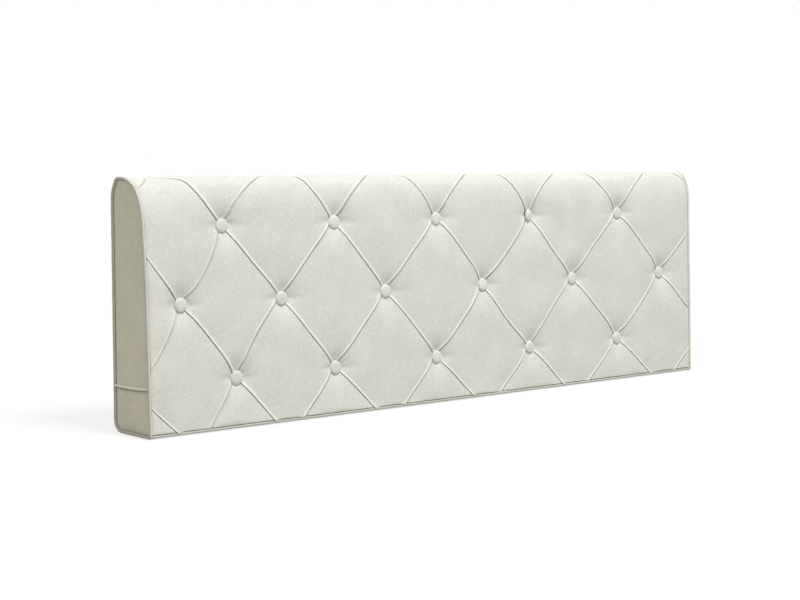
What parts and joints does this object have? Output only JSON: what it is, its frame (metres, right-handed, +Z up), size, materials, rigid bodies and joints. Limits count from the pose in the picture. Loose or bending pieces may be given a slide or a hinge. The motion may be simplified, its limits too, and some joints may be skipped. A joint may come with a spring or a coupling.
{
  "type": "tufted headboard cushion",
  "caption": "Long foam-filled headboard cushion in off-white velvet, with diamond tufting, covered buttons, piped ends and a zipped back.",
  "frame": {"origin": "on the flat bottom panel, at the middle of the cushion's length and of its depth, where it stands", "axes": "+X along the cushion to the right as seen from its tufted front, +Y out of the flat back, +Z up"},
  "size_m": [1.6, 0.1379, 0.5037],
  "materials": {
    "velvet_front": "matte short pile velvet, off-white",
    "velvet_ends": "matte short pile velvet, off-white",
    "velvet_back": "matte short pile velvet, off-white",
    "velvet_piping": "matte velvet drawn round a cord",
    "velvet_buttons": "matte velvet drawn over a dome",
    "quilting_foam": "open cell foam",
    "backing_cloth": "non-woven cloth",
    "liner_cloth": "non-woven cloth",
    "core_foam": "open cell foam",
    "button_metal": "pressed sheet",
    "button_plastic": "moulded",
    "button_wire": "drawn wire",
    "twine": "waxed twine",
    "zipper_tape": "woven tape",
    "zipper_chain": "nylon coil",
    "zipper_metal": "die-cast and plated"
  },
  "bodies": {
    "cushion": {"anchor_washers": "button_plastic", "back_panel_lower": "velvet_back", "back_panel_upper": "velvet_back", "bottom_panel": "velvet_back", "button_backs": "button_plastic", "button_bottom_1": "velvet_buttons", "button_bottom_2": "velvet_buttons", "button_bottom_3": "velvet_buttons", "button_bottom_4": "velvet_buttons", "button_bottom_5": "velvet_buttons", "button_eyes": "button_wire", "button_middle_1": "velvet_buttons", "button_middle_2": "velvet_buttons", "button_middle_3": "velvet_buttons", "button_middle_4": "velvet_buttons", "button_middle_5": "velvet_buttons", "button_middle_6": "velvet_buttons", "button_shells": "button_metal", "button_top_1": "velvet_buttons", "button_top_2": "velvet_buttons", "button_top_3": "velvet_buttons", "button_top_4": "velvet_buttons", "button_top_5": "velvet_buttons", "core_liner": "liner_cloth", "foam_core": "core_foam", "front_bottom_piping": "velvet_piping", "front_panel": "velvet_front", "left_end_panel_lower": "velvet_ends", "left_end_panel_upper": "velvet_ends", "left_end_piping": "velvet_piping", "left_end_welt": "velvet_piping", "pad_backing": "backing_cloth", "right_end_panel_lower": "velvet_ends", "right_end_panel_upper": "velvet_ends", "right_end_piping": "velvet_piping", "right_end_welt": "velvet_piping", "tufting_pad": "quilting_foam", "tufting_twines": "twine", "zipper_chain_lower": "zipper_chain", "zipper_chain_upper": "zipper_chain", "zipper_closed_stop": "zipper_metal", "zipper_open_stop": "zipper_metal", "zipper_tape_lower": "zipper_tape", "zipper_tape_upper": "zipper_tape"},
    "zipper_slider": {"zipper_slider": "zipper_metal"},
    "zipper_pull": {"zipper_pull": "zipper_metal"}
  },
  "joints": [
    {"name": "zipper_slide", "type": "slide", "parent": "cushion", "child": "zipper_slider", "axis": [1, 0, 0], "range_m": [-1.28, 0]},
    {"name": "pull_tab_hinge", "type": "hinge", "parent": "zipper_slider", "child": "zipper_pull", "pos_m": [0.6412, 0.06935, 0.075], "axis": [0, 0, -1], "range_deg": [0, 170]}
  ]
}
